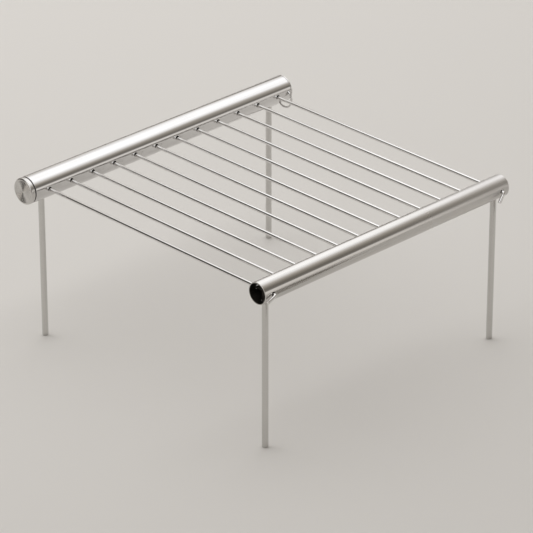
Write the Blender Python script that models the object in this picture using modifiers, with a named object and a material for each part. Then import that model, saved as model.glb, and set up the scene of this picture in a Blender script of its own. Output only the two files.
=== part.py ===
"""A knock-down camp grill of stainless steel: two tubes, twelve rods and four legs.

The thick tube at the back is also the storage tube, with a screwed end cap, a pressed end plug
and a hanging ring. The thin tube at the front fits inside it. Ten straight rods lie between the
tubes. The first and the last rod end in a hook, and each also pins one front and one rear leg.

X runs along the tubes from the screwed cap to the plug, Y from the front tube to the rear tube,
and Z up. The origin is on the ground, under the middle of the grill's box.
"""

import math

import bmesh
import bpy

MM = 0.001

# The rods
ROD_COUNT = 12
ROD_DIAMETER = 2.8 * MM
ROD_PITCH = 22.7 * MM
ROD_HOLE_CLEARANCE = 0.4 * MM  # around a rod in a tube's wall
ROD_END_PLAY = 3.0 * MM  # from a rod's end to the bore that stops it
ROD_END_CHAMFER = 0.3 * MM
HOOK_STANDOFF = 0.4 * MM  # from the front tube to the start of a hook's bend
HOOK_BEND_RADIUS = 2.0 * MM
HOOK_LENGTH = 9.0 * MM  # from the rod's axis to the hook's tip
HOOK_NEAR_ANGLE = math.radians(68)  # from straight down, towards the cap end
HOOK_FAR_ANGLE = math.radians(38)

# The two tubes
AXIS_SPACING = 252.0 * MM  # between the tubes' axes
AXIS_HEIGHT = 133.0 * MM  # of both tubes above the ground
REAR_DIAMETER = 22.0 * MM
REAR_WALL = 1.0 * MM
REAR_NEAR_MARGIN = 18.6 * MM  # from the cap's face to the first rod
REAR_FAR_MARGIN = 16.7 * MM  # from the last rod to the plug's face
FRONT_WALL = 1.0 * MM
FRONT_END_MARGIN = 8.15 * MM  # from the first and last rod to the tube's ends
TUBE_EDGE = 0.2 * MM  # broken edges at the tubes' ends

# The legs
LEG_EYE_WALL = 0.8 * MM  # beside the cross-hole that takes the hooked rod
LEG_EYE_CLEARANCE = 0.3 * MM  # around the rod in the leg
LEG_HOLE_CLEARANCE = 0.3 * MM  # around a leg in a tube's wall
LEG_TOP_GAP = 2.6 * MM  # from a leg's top to the roof of the front tube's bore
LEG_CHAMFER = 0.4 * MM

# The screwed cap and its seal
CAP_LENGTH = 3.7 * MM
CAP_EDGE_RADIUS = 1.4 * MM
CAP_FACE_THICKNESS = 1.8 * MM
CAP_SHOULDER_EDGE = 0.2 * MM
SPIGOT_LENGTH = 7.0 * MM
SPIGOT_CLEARANCE = 0.25 * MM  # around the spigot's core in the tube's bore
SPIGOT_WALL = 0.55 * MM
THREAD_PITCH = 1.5 * MM
THREAD_DEPTH = 0.35 * MM  # of the internal thread, into the tube's wall
THREAD_CLEARANCE = 0.2 * MM
THREAD_RIDGE_RADIUS = 0.35 * MM
THREAD_END_LAND = 0.6 * MM  # plain spigot before and after the thread
SEAL_THICKNESS = 0.8 * MM
SEAL_RECESS = 0.35 * MM  # of the seal's rim below the tube's surface
SEAL_SEAT_GAP = 0.15 * MM
SEAL_EDGE = 0.2 * MM

# The pressed plug and the hanging ring
PLUG_FLANGE = 1.4 * MM
PLUG_SEAM = 0.2 * MM
PLUG_DEPTH = 0.8 * MM
PLUG_CLEARANCE = 0.2 * MM
PLUG_EDGE = 0.4 * MM
RING_WIRE = 1.6 * MM
RING_FROM_FACE = 4.2 * MM  # from the plug's face to the ring's plane
RING_HOLE_HALF_ANGLE = math.radians(50)  # from the low front diagonal to each ring hole
RING_BEYOND_HOLES = 1.6 * MM  # from the line between the holes to the ring's centre
RING_HOLE_CLEARANCE = 0.4 * MM
RING_JOINT = math.radians(3)  # the opening between the ring's two ends

# What fits between the rear tube and what is stored in it
STORAGE_CLEARANCE = 0.2 * MM  # around the front tube in the cap's spigot

# How finely round shapes are cut up
TUBE_STEPS = 48
ROD_STEPS = 16
LEG_STEPS = 20
RING_STEPS = 48
TURN_STEPS = 20
BEND_STEPS = 6
EDGE_STEPS = 3
CUTTER_OVERLAP = 2.0 * MM

# Sizes that follow from those above
ROD_RADIUS = ROD_DIAMETER / 2
ROD_SPAN = (ROD_COUNT - 1) * ROD_PITCH
REAR_RADIUS = REAR_DIAMETER / 2
REAR_BORE_RADIUS = REAR_RADIUS - REAR_WALL
THREAD_RELIEF_RADIUS = REAR_BORE_RADIUS + THREAD_DEPTH
THREAD_TIP_RADIUS = THREAD_RELIEF_RADIUS - THREAD_CLEARANCE
SPIGOT_RADIUS = REAR_BORE_RADIUS - SPIGOT_CLEARANCE
CAP_BORE_RADIUS = SPIGOT_RADIUS - SPIGOT_WALL
FRONT_RADIUS = CAP_BORE_RADIUS - STORAGE_CLEARANCE
FRONT_BORE_RADIUS = FRONT_RADIUS - FRONT_WALL
LEG_EYE_RADIUS = ROD_RADIUS + LEG_EYE_CLEARANCE
LEG_RADIUS = LEG_EYE_RADIUS + LEG_EYE_WALL
LEG_TOP_ABOVE_AXIS = math.sqrt(FRONT_BORE_RADIUS**2 - LEG_RADIUS**2) - LEG_TOP_GAP
LEG_LENGTH = AXIS_HEIGHT + LEG_TOP_ABOVE_AXIS
SEAL_GROOVE = SEAL_THICKNESS + 2 * SEAL_SEAT_GAP
REAR_ASSEMBLY_LENGTH = REAR_NEAR_MARGIN + ROD_SPAN + REAR_FAR_MARGIN
REAR_TUBE_LENGTH = REAR_ASSEMBLY_LENGTH - CAP_LENGTH - SEAL_GROOVE - PLUG_SEAM - PLUG_FLANGE
FRONT_TUBE_LENGTH = ROD_SPAN + 2 * FRONT_END_MARGIN
HOOK_REACH = HOOK_STANDOFF + HOOK_BEND_RADIUS + ROD_RADIUS

# Places
DEPTH = HOOK_REACH + FRONT_RADIUS + AXIS_SPACING + REAR_RADIUS
CAP_FACE_X = -REAR_ASSEMBLY_LENGTH / 2
REAR_MOUTH_X = CAP_FACE_X + CAP_LENGTH + SEAL_GROOVE
REAR_END_X = REAR_MOUTH_X + REAR_TUBE_LENGTH
FIRST_ROD_X = CAP_FACE_X + REAR_NEAR_MARGIN
LAST_ROD_X = FIRST_ROD_X + ROD_SPAN
FRONT_TUBE_X = FIRST_ROD_X - FRONT_END_MARGIN
FRONT_AXIS_Y = -DEPTH / 2 + HOOK_REACH + FRONT_RADIUS
REAR_AXIS_Y = FRONT_AXIS_Y + AXIS_SPACING
RING_X = -CAP_FACE_X - RING_FROM_FACE

# Turns that lay a shape made along Z down along X or Y
ALONG_X = (0, math.pi / 2, 0)
ALONG_Y = (-math.pi / 2, 0, 0)
ALONG_Z = (0, 0, 0)


def clear_scene():
    """Removes every object, so that the scene holds only the grill."""
    for obj in list(bpy.data.objects):
        bpy.data.objects.remove(obj, do_unlink=True)


def new_collection(name):
    """Makes a collection in the scene."""
    collection = bpy.data.collections.new(name)
    bpy.context.scene.collection.children.link(collection)
    return collection


def new_material(name, colour, roughness, metallic):
    """Makes a plain Principled BSDF material."""
    material = bpy.data.materials.new(name)
    material.use_nodes = True
    shader = material.node_tree.nodes["Principled BSDF"]
    shader.inputs["Base Color"].default_value = (*colour, 1)
    shader.inputs["Roughness"].default_value = roughness
    shader.inputs["Metallic"].default_value = metallic
    return material


def new_empty(name, location, collection):
    """Makes an empty that carries the pieces of one sub-assembly."""
    empty = bpy.data.objects.new(name, None)
    empty.location = location
    empty.empty_display_size = 10 * MM
    collection.objects.link(empty)
    return empty


def placed(name, data, collection, location, rotation, parent=None):
    """Makes an object from its data and puts it at a world place, under its parent."""
    obj = bpy.data.objects.new(name, data)
    obj.rotation_euler = rotation
    obj.location = location
    if parent is not None:
        obj.parent = parent
        obj.location = [a - b for a, b in zip(location, parent.location)]
    collection.objects.link(obj)
    return obj


def turned(name, profile, steps, closed, collection, location, rotation, parent=None):
    """Turns a profile of (radius, height) points about Z, and lays the piece down."""
    mesh = bpy.data.meshes.new(name)
    shape = bmesh.new()
    points = [shape.verts.new((radius, 0, height)) for radius, height in profile]
    for first, second in zip(points, points[1:]):
        shape.edges.new((first, second))
    if closed:
        shape.edges.new((points[-1], points[0]))
    shape.to_mesh(mesh)
    shape.free()
    obj = placed(name, mesh, collection, location, rotation, parent)
    screw = obj.modifiers.new("Turning", "SCREW")
    screw.steps = steps
    screw.render_steps = steps
    screw.use_merge_vertices = True
    screw.merge_threshold = 0.01 * MM
    screw.use_smooth_shade = True
    return obj


def bored(name, start, length, radius, steps, rotation, collection):
    """Makes a plain cylinder that cuts a hole, from its start along the turned Z."""
    mesh = bpy.data.meshes.new(name)
    shape = bmesh.new()
    bmesh.ops.create_cone(
        shape, cap_ends=True, segments=steps, radius1=radius, radius2=radius, depth=length
    )
    bmesh.ops.translate(shape, verts=shape.verts, vec=(0, 0, length / 2))
    shape.to_mesh(mesh)
    shape.free()
    return as_helper(placed(name, mesh, collection, start, rotation))


def as_helper(obj):
    """Keeps a cutter or a joined-on shape out of the render."""
    obj.hide_render = True
    obj.display_type = "WIRE"
    return obj


def combine(obj, operation, helper=None, collection=None):
    """Adds a Boolean with one helper, or with every helper of a collection."""
    boolean = obj.modifiers.new(operation.title(), "BOOLEAN")
    boolean.operation = operation
    boolean.solver = "EXACT"
    if collection is None:
        boolean.object = helper
    else:
        boolean.operand_type = "COLLECTION"
        boolean.collection = collection
    return obj


def wire(name, points, radius, resolution, collection, location, rotation, parent=None):
    """Makes a round wire along a line of points."""
    curve = bpy.data.curves.new(name, "CURVE")
    curve.dimensions = "3D"
    curve.bevel_depth = radius
    curve.bevel_resolution = resolution
    curve.use_fill_caps = True
    spline = curve.splines.new("POLY")
    spline.points.add(len(points) - 1)
    for place, point in zip(spline.points, points):
        place.co = (*point, 1)
    spline.use_smooth = True
    return placed(name, curve, collection, location, rotation, parent)


def meshed(obj):
    """Replaces a wire by a mesh with welded caps, so that a Boolean can use it."""
    bpy.context.view_layer.update()
    graph = bpy.context.evaluated_depsgraph_get()
    mesh = bpy.data.meshes.new_from_object(obj.evaluated_get(graph))
    shape = bmesh.new()
    shape.from_mesh(mesh)
    bmesh.ops.remove_doubles(shape, verts=shape.verts, dist=0.01 * MM)
    bmesh.ops.recalc_face_normals(shape, faces=shape.faces)
    shape.to_mesh(mesh)
    shape.free()
    made = bpy.data.objects.new(obj.name + "_mesh", mesh)
    obj.users_collection[0].objects.link(made)
    made.matrix_world = obj.matrix_world
    bpy.data.objects.remove(obj, do_unlink=True)
    return made


def finish(obj, material):
    """Gives a piece its material."""
    obj.data.materials.append(material)
    return obj


def rod_x(index):
    """The place of a rod along the tubes, counted from 0 at the cap end."""
    return FIRST_ROD_X + index * ROD_PITCH


def rear_tube(pieces, cutters, steel):
    """The storage tube, with its internal thread's relief, rod holes, leg holes and ring holes."""
    top = REAR_TUBE_LENGTH
    thread = SPIGOT_LENGTH + THREAD_END_LAND
    profile = [
        (REAR_RADIUS - TUBE_EDGE, top),
        (REAR_RADIUS, top - TUBE_EDGE),
        (REAR_RADIUS, TUBE_EDGE),
        (REAR_RADIUS - TUBE_EDGE, 0),
        (THREAD_RELIEF_RADIUS, 0),
        (THREAD_RELIEF_RADIUS, thread),
        (REAR_BORE_RADIUS, thread + THREAD_DEPTH),
        (REAR_BORE_RADIUS, top),
    ]
    place = (REAR_MOUTH_X, REAR_AXIS_Y, AXIS_HEIGHT)
    tube = turned("rear_tube", profile, TUBE_STEPS, True, pieces, place, ALONG_X)
    outside = REAR_AXIS_Y - REAR_RADIUS - CUTTER_OVERLAP
    for index in range(ROD_COUNT):
        start = (rod_x(index), outside, AXIS_HEIGHT)
        reach = REAR_AXIS_Y - outside
        radius = ROD_RADIUS + ROD_HOLE_CLEARANCE
        bored(f"rear_rod_hole_{index + 1:02}", start, reach, radius, ROD_STEPS, ALONG_Y, cutters)
    leg_holes("rear", REAR_AXIS_Y, REAR_RADIUS, cutters)
    ring_cutter(cutters)
    return finish(combine(tube, "DIFFERENCE", collection=cutters), steel)


def leg_holes(side, axis_y, radius, cutters):
    """The two holes in the underside of a tube that the legs go in by."""
    below = AXIS_HEIGHT - radius - CUTTER_OVERLAP
    for end, x in (("near", FIRST_ROD_X), ("far", LAST_ROD_X)):
        hole = LEG_RADIUS + LEG_HOLE_CLEARANCE
        start = (x, axis_y, below)
        reach = AXIS_HEIGHT - below
        bored(f"{side}_leg_hole_{end}", start, reach, hole, LEG_STEPS, ALONG_Z, cutters)


def ring_centre():
    """The ring's centre in Y and Z, counted from the rear tube's axis, and the ring's radius."""
    middle = REAR_RADIUS - REAR_WALL / 2
    along = middle * math.cos(RING_HOLE_HALF_ANGLE) + RING_BEYOND_HOLES
    across = middle * math.sin(RING_HOLE_HALF_ANGLE)
    side = along / math.sqrt(2)
    return -side, -side, math.hypot(across, RING_BEYOND_HOLES)


def ring_place():
    """The ring's centre in the world."""
    y, z, _ = ring_centre()
    return RING_X, REAR_AXIS_Y + y, AXIS_HEIGHT + z


def ring_cutter(cutters):
    """A fatter ring that cuts the two holes that the hanging ring runs through."""
    bpy.ops.mesh.primitive_torus_add(
        location=ring_place(),
        rotation=ALONG_X,
        major_segments=RING_STEPS,
        minor_segments=ROD_STEPS,
        major_radius=ring_centre()[2],
        minor_radius=RING_WIRE / 2 + RING_HOLE_CLEARANCE,
    )
    cutter = bpy.context.object
    cutter.name = "ring_holes"
    for collection in list(cutter.users_collection):
        collection.objects.unlink(cutter)
    cutters.objects.link(cutter)
    as_helper(cutter)


def front_tube(pieces, cutters, steel, carrier):
    """The open front tube, with rod holes in its inner wall and two that go right through."""
    top = FRONT_TUBE_LENGTH
    profile = [
        (FRONT_RADIUS - TUBE_EDGE, top),
        (FRONT_RADIUS, top - TUBE_EDGE),
        (FRONT_RADIUS, TUBE_EDGE),
        (FRONT_RADIUS - TUBE_EDGE, 0),
        (FRONT_BORE_RADIUS + TUBE_EDGE, 0),
        (FRONT_BORE_RADIUS, TUBE_EDGE),
        (FRONT_BORE_RADIUS, top - TUBE_EDGE),
        (FRONT_BORE_RADIUS + TUBE_EDGE, top),
    ]
    place = (FRONT_TUBE_X, FRONT_AXIS_Y, AXIS_HEIGHT)
    tube = turned("front_tube", profile, TUBE_STEPS, True, pieces, place, ALONG_X, carrier)
    wall = FRONT_RADIUS + CUTTER_OVERLAP
    for index in range(ROD_COUNT):
        hooked = index in (0, ROD_COUNT - 1)
        start = (rod_x(index), FRONT_AXIS_Y - (wall if hooked else 0), AXIS_HEIGHT)
        reach = wall * (2 if hooked else 1)
        radius = ROD_RADIUS + ROD_HOLE_CLEARANCE
        bored(f"front_rod_hole_{index + 1:02}", start, reach, radius, ROD_STEPS, ALONG_Y, cutters)
    leg_holes("front", FRONT_AXIS_Y, FRONT_RADIUS, cutters)
    return finish(combine(tube, "DIFFERENCE", collection=cutters), steel)


def straight_rod(index, pieces, steel):
    """One of the ten plain rods, loose between the bores of the two tubes."""
    start = FRONT_AXIS_Y - FRONT_BORE_RADIUS + ROD_END_PLAY
    length = REAR_AXIS_Y + REAR_BORE_RADIUS - ROD_END_PLAY - start
    profile = [
        (0, length),
        (ROD_RADIUS - ROD_END_CHAMFER, length),
        (ROD_RADIUS, length - ROD_END_CHAMFER),
        (ROD_RADIUS, ROD_END_CHAMFER),
        (ROD_RADIUS - ROD_END_CHAMFER, 0),
        (0, 0),
    ]
    name = f"grate_rod_{index + 1:02}"
    place = (rod_x(index), start, AXIS_HEIGHT)
    return finish(turned(name, profile, ROD_STEPS, False, pieces, place, ALONG_Y), steel)


def hooked_rod(end, index, angle, pieces, steel, carrier):
    """A rod that pins two legs and ends in a hook outside the front tube."""
    bend_start = -FRONT_RADIUS - HOOK_STANDOFF
    down = (-math.sin(angle), -math.cos(angle))
    points = [(0, AXIS_SPACING + REAR_BORE_RADIUS - ROD_END_PLAY, 0)]
    for step in range(BEND_STEPS + 1):
        turn = math.pi / 2 * step / BEND_STEPS
        drop = HOOK_BEND_RADIUS * (1 - math.cos(turn))
        ahead = bend_start - HOOK_BEND_RADIUS * math.sin(turn)
        points.append((down[0] * drop, ahead, down[1] * drop))
    tail = bend_start - HOOK_BEND_RADIUS
    points.append((down[0] * HOOK_LENGTH, tail, down[1] * HOOK_LENGTH))
    place = (rod_x(index), FRONT_AXIS_Y, AXIS_HEIGHT)
    name = f"hook_rod_{end}"
    return finish(wire(name, points, ROD_RADIUS, 6, pieces, place, ALONG_Z, carrier), steel)


def leg(side, end, x, axis_y, pieces, cutters, steel, carrier=None):
    """A solid leg that stands on the ground and is pinned through its eye by a hooked rod."""
    profile = [
        (0, LEG_LENGTH),
        (LEG_RADIUS - LEG_CHAMFER, LEG_LENGTH),
        (LEG_RADIUS, LEG_LENGTH - LEG_CHAMFER),
        (LEG_RADIUS, LEG_CHAMFER),
        (LEG_RADIUS - LEG_CHAMFER, 0),
        (0, 0),
    ]
    name = f"leg_{side}_{end}"
    post = turned(name, profile, LEG_STEPS, False, pieces, (x, axis_y, 0), ALONG_Z, carrier)
    outside = LEG_RADIUS + CUTTER_OVERLAP
    start = (x, axis_y - outside, AXIS_HEIGHT)
    eye = bored(f"{name}_eye", start, 2 * outside, LEG_EYE_RADIUS, ROD_STEPS, ALONG_Y, cutters)
    return finish(combine(post, "DIFFERENCE", helper=eye), steel)


def end_cap(pieces, helpers, steel, carrier):
    """The hollow screwed cap: a knob with a rounded edge, and a thin threaded spigot."""
    top = CAP_LENGTH + SEAL_GROOVE + SPIGOT_LENGTH
    profile = [
        (0, CAP_FACE_THICKNESS),
        (CAP_BORE_RADIUS, CAP_FACE_THICKNESS),
        (CAP_BORE_RADIUS, top),
        (SPIGOT_RADIUS - CAP_SHOULDER_EDGE, top),
        (SPIGOT_RADIUS, top - CAP_SHOULDER_EDGE),
        (SPIGOT_RADIUS, CAP_LENGTH),
        (REAR_RADIUS - CAP_SHOULDER_EDGE, CAP_LENGTH),
        (REAR_RADIUS, CAP_LENGTH - CAP_SHOULDER_EDGE),
    ]
    for step in range(EDGE_STEPS + 1):
        turn = math.pi / 2 * step / EDGE_STEPS
        out = CAP_EDGE_RADIUS * (math.cos(turn) - 1)
        up = CAP_EDGE_RADIUS * (1 - math.sin(turn))
        profile.append((REAR_RADIUS + out, up))
    profile.append((0, 0))
    place = (CAP_FACE_X, REAR_AXIS_Y, AXIS_HEIGHT)
    cap = turned("end_cap", profile, TUBE_STEPS, False, pieces, place, ALONG_X, carrier)
    ridge = thread_ridge(place, helpers)
    return finish(combine(cap, "UNION", helper=ridge), steel)


def thread_ridge(place, helpers):
    """The right-handed ridge of the cap's thread, as a wire wound round the spigot."""
    low = CAP_LENGTH + SEAL_GROOVE + THREAD_END_LAND
    length = SPIGOT_LENGTH - 2 * THREAD_END_LAND
    winding = THREAD_TIP_RADIUS - THREAD_RIDGE_RADIUS
    count = max(2, round(TURN_STEPS * length / THREAD_PITCH))
    points = []
    for step in range(count + 1):
        height = low + length * step / count
        turn = math.tau * length / THREAD_PITCH * step / count
        points.append((winding * math.cos(turn), winding * math.sin(turn), height))
    ridge = wire("thread_ridge", points, THREAD_RIDGE_RADIUS, 2, helpers, place, ALONG_X)
    return as_helper(meshed(ridge))


def cap_seal(pieces, rubber, carrier):
    """The black ring between the cap's shoulder and the tube's mouth."""
    inner = SPIGOT_RADIUS + SEAL_SEAT_GAP
    outer = REAR_RADIUS - SEAL_RECESS
    top = SEAL_THICKNESS
    profile = [
        (outer - SEAL_EDGE, top),
        (outer, top - SEAL_EDGE),
        (outer, SEAL_EDGE),
        (outer - SEAL_EDGE, 0),
        (inner + SEAL_EDGE, 0),
        (inner, SEAL_EDGE),
        (inner, top - SEAL_EDGE),
        (inner + SEAL_EDGE, top),
    ]
    place = (CAP_FACE_X + CAP_LENGTH + SEAL_SEAT_GAP, REAR_AXIS_Y, AXIS_HEIGHT)
    seal = turned("cap_seal", profile, TUBE_STEPS, True, pieces, place, ALONG_X, carrier)
    return finish(seal, rubber)


def end_plug(pieces, steel):
    """The disc with a short spigot that closes the far end of the rear tube."""
    top = PLUG_SEAM + PLUG_FLANGE
    spigot = REAR_BORE_RADIUS - PLUG_CLEARANCE
    profile = [
        (0, top),
        (REAR_RADIUS - PLUG_EDGE, top),
        (REAR_RADIUS, top - PLUG_EDGE),
        (REAR_RADIUS, PLUG_SEAM),
        (spigot, PLUG_SEAM),
        (spigot, -PLUG_DEPTH),
        (0, -PLUG_DEPTH),
    ]
    place = (REAR_END_X, REAR_AXIS_Y, AXIS_HEIGHT)
    return finish(turned("end_plug", profile, TUBE_STEPS, False, pieces, place, ALONG_X), steel)


def hanging_ring(pieces, steel):
    """The wire ring that runs through two holes at the plug end, with its joint up inside."""
    radius = ring_centre()[2]
    span = math.tau - RING_JOINT
    points = []
    for step in range(RING_STEPS):
        turn = math.pi / 4 + RING_JOINT / 2 + span * step / (RING_STEPS - 1)
        points.append((0, radius * math.cos(turn), radius * math.sin(turn)))
    ring = wire("hanging_ring", points, RING_WIRE / 2, 3, pieces, ring_place(), ALONG_Z)
    return finish(ring, steel)


def main():
    """Builds every piece of the grill."""
    clear_scene()
    pieces = new_collection("camp_grill")
    rear_cutters = new_collection("rear_tube_cutters")
    front_cutters = new_collection("front_tube_cutters")
    helpers = new_collection("other_helpers")
    steel = new_material("brushed_steel", (0.66, 0.64, 0.61), 0.28, 1.0)
    satin = new_material("satin_steel", (0.60, 0.58, 0.55), 0.38, 1.0)
    bright = new_material("bright_steel", (0.72, 0.70, 0.67), 0.20, 1.0)
    rubber = new_material("black_rubber", (0.02, 0.018, 0.016), 0.7, 0.0)

    pulled = new_empty("front_pull", (0, FRONT_AXIS_Y, AXIS_HEIGHT), pieces)
    screwed = new_empty("cap_turn", (REAR_MOUTH_X, REAR_AXIS_Y, AXIS_HEIGHT), pieces)

    rear_tube(pieces, rear_cutters, steel)
    end_plug(pieces, steel)
    hanging_ring(pieces, bright)
    end_cap(pieces, helpers, steel, screwed)
    cap_seal(pieces, rubber, screwed)
    front_tube(pieces, front_cutters, steel, pulled)
    for index in range(1, ROD_COUNT - 1):
        straight_rod(index, pieces, bright)
    hooked_rod("near", 0, HOOK_NEAR_ANGLE, pieces, bright, pulled)
    hooked_rod("far", ROD_COUNT - 1, HOOK_FAR_ANGLE, pieces, bright, pulled)
    for end, x in (("near", FIRST_ROD_X), ("far", LAST_ROD_X)):
        leg("rear", end, x, REAR_AXIS_Y, pieces, helpers, satin)
        leg("front", end, x, FRONT_AXIS_Y, pieces, helpers, satin, pulled)


if __name__ == "__main__":
    main()
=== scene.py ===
"""A knock-down camp grill of stainless steel, set up on a pale floor.

The thick rear tube is also the storage tube, with a screwed cap, a pressed plug and a hanging
ring. The thin front tube is open. Twelve rods lie between them: the first and the last end in
a hook and pin the four legs, and the ten others are loose.
"""

import logging
import math
from collections.abc import Callable, Sequence
from dataclasses import dataclass
from enum import Enum
from typing import NamedTuple

import bmesh
import bpy
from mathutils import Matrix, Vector


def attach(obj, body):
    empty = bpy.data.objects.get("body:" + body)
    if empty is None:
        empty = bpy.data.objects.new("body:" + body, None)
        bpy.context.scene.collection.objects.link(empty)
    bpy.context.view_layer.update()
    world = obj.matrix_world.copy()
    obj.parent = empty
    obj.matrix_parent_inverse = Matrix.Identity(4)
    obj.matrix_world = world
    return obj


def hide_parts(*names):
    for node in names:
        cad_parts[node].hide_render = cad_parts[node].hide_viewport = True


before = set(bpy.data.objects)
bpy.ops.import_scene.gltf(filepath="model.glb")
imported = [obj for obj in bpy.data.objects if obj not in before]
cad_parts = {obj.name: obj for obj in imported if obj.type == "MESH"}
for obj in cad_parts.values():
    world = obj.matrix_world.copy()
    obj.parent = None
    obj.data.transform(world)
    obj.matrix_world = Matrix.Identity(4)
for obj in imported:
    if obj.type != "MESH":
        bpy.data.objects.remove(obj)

Face = bmesh.types.BMFace
Material = bpy.types.Material
Piece = bpy.types.Object
Socket = bpy.types.NodeSocket
Triple = tuple[float, float, float]
Steps = tuple[tuple[float, float], ...]

LOG = logging.getLogger("camp_grill")
MM = 0.001
HAIR = 0.01 * MM
MERGE_DISTANCE = 0.001 * MM
SAME_FACTOR = 1e-9
SMOOTH_ANGLE = math.radians(35)
BURR_ANGLE = math.radians(50)
BURR_STEPS = 2
END_STEPS = 4
HUB_SHARE = 0.4
NOISE_ROUGHNESS = 0.6


class Axis(Enum):
    """The direction that a turned piece's axis runs in, with the turn that lays Z along it."""

    X = ((1, 0, 0), (0, math.pi / 2, 0))
    Y = ((0, 1, 0), (-math.pi / 2, 0, 0))
    Z = ((0, 0, 1), (0, 0, 0))

    @property
    def direction(self) -> Vector:
        """The axis as a vector."""
        return Vector(self.value[0])

    @property
    def turn(self) -> Triple:
        """The rotation that lays Z along the axis."""
        return self.value[1]

    def scale(self, along: float, across: float) -> Triple:
        """A scale with one value along the axis and another across it."""
        return tuple(along if part else across for part in self.value[0])


# Shader maths


class Value:
    """A number in a shader, which can be added, multiplied and so on as in plain maths."""

    def __init__(self, dress: "Dress", socket: Socket) -> None:
        """Wraps an output socket of a node of the dress."""
        self.dress = dress
        self.socket = socket

    def _maths(self, operation: str, *others: "Value | float") -> "Value":
        """Adds a Math node with this value and the others."""
        terms = dict(enumerate((self, *others)))
        return self.dress.value("ShaderNodeMath", {"operation": operation}, terms)

    def __add__(self, other: "Value | float") -> "Value":
        """Adds a number or another value."""
        return self._maths("ADD", other)

    def __sub__(self, other: "Value | float") -> "Value":
        """Takes a number or another value away."""
        return self._maths("SUBTRACT", other)

    def __mul__(self, other: "Value | float") -> "Value":
        """Multiplies by a number or another value."""
        return self._maths("MULTIPLY", other)

    def __truediv__(self, other: "Value | float") -> "Value":
        """Divides by a number or another value."""
        return self._maths("DIVIDE", other)

    __radd__ = __add__
    __rmul__ = __mul__

    def root(self) -> "Value":
        """The square root."""
        return self._maths("SQRT")

    def clamped(self) -> "Value":
        """The value held between 0 and 1."""
        return self.dress.value("ShaderNodeClamp", {}, {0: self})


class Grain(NamedTuple):
    """A pattern of fine lines or rings, with its scale along an axis and across it."""

    along: float
    across: float
    shift: Triple
    detail: float


class Dress:
    """The node tree of one material, from its place on the piece to its Principled shader."""

    def __init__(self, name: str) -> None:
        """Makes the material with its Principled shader.

        Args:
            name: The material's name.
        """
        self.material = bpy.data.materials.new(name)
        self.material.use_nodes = True
        self.tree = self.material.node_tree
        self.shader = self.tree.nodes["Principled BSDF"]

    def node(self, kind: str, settings: dict, inputs: dict) -> bpy.types.Node:
        """Adds a node.

        Args:
            kind: The node's type.
            settings: Its properties, set before its sockets.
            inputs: Values or links for its input sockets, by name or number.

        Returns:
            The new node.
        """
        node = self.tree.nodes.new(kind)
        for key, setting in settings.items():
            setattr(node, key, setting)
        for key, given in inputs.items():
            self.feed(node.inputs[key], given)
        return node

    def value(self, kind: str, settings: dict, inputs: dict) -> Value:
        """Adds a node and returns its first output as a value for maths."""
        return Value(self, self.node(kind, settings, inputs).outputs[0])

    def feed(self, socket: Socket, given: object) -> None:
        """Gives a socket a link, or a value of its own.

        Args:
            socket: The input socket.
            given: What it gets.
        """
        given = given.socket if isinstance(given, Value) else given
        if isinstance(given, Socket):
            self.tree.links.new(given, socket)
        else:
            socket.default_value = given

    def finish(self, inputs: dict) -> Material:
        """Feeds the Principled shader.

        Args:
            inputs: Values or links for its sockets, by name.

        Returns:
            The material.
        """
        for key, given in inputs.items():
            self.feed(self.shader.inputs[key], given)
        return self.material

    def metal(self, colour: Socket, roughness: Value, normal: Socket) -> Material:
        """Feeds the Principled shader of a bare metal and returns the material."""
        return self.finish({"Base Color": colour, "Metallic": 1.0, "Roughness": roughness,
                            "Normal": normal})

    def place(self) -> Socket:
        """The place on the piece, in metres."""
        return self.node("ShaderNodeTexCoord", {}, {}).outputs["Object"]

    def stretched(self, location: Triple, scale: Triple) -> Socket:
        """The place on the piece, moved and scaled by a Mapping node."""
        inputs = {"Vector": self.place(), "Location": location, "Scale": scale}
        return self.node("ShaderNodeMapping", {}, inputs).outputs["Vector"]

    def parts(self, place: Socket) -> list[Value]:
        """The three coordinates of a place."""
        node = self.node("ShaderNodeSeparateXYZ", {}, {0: place})
        return [Value(self, output) for output in node.outputs]

    def noise(self, vector: Socket, scale: float, detail: float) -> Value:
        """A cloudy pattern from 0 to 1."""
        inputs = {"Vector": vector, "Scale": scale, "Detail": detail, "Roughness": NOISE_ROUGHNESS}
        return self.value("ShaderNodeTexNoise", {}, inputs)

    def grain(self, axis: Axis, grain: Grain) -> Value:
        """A pattern of fine lines or rings from 0 to 1."""
        vector = self.stretched(grain.shift, axis.scale(grain.along, grain.across))
        return self.noise(vector, 1.0, grain.detail)

    def ramp(self, factor: Value, stops: Sequence[tuple[float, Triple]]) -> Socket:
        """Adds a colour that follows a value through a few stops.

        Args:
            factor: The value.
            stops: The stops, each with its place and colour.

        Returns:
            The colour.
        """
        node = self.node("ShaderNodeValToRGB", {}, {"Fac": factor})
        while len(node.color_ramp.elements) < len(stops):
            node.color_ramp.elements.new(1)
        for element, (position, colour) in zip(node.color_ramp.elements, stops):
            element.position = position
            element.color = (*colour, 1)
        return node.outputs["Color"]

    def mixed(self, factor: Value, first: tuple | Socket, second: Socket) -> Socket:
        """A colour between two others."""
        inputs = {0: factor, 6: first, 7: second}
        return self.node("ShaderNodeMix", {"data_type": "RGBA"}, inputs).outputs[2]

    def bump(self, height: Value, strength: float, distance: float) -> Socket:
        """A surface normal that follows a height."""
        inputs = {"Height": height, "Strength": strength, "Distance": distance}
        return self.node("ShaderNodeBump", {}, inputs).outputs["Normal"]


# Finishes


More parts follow.
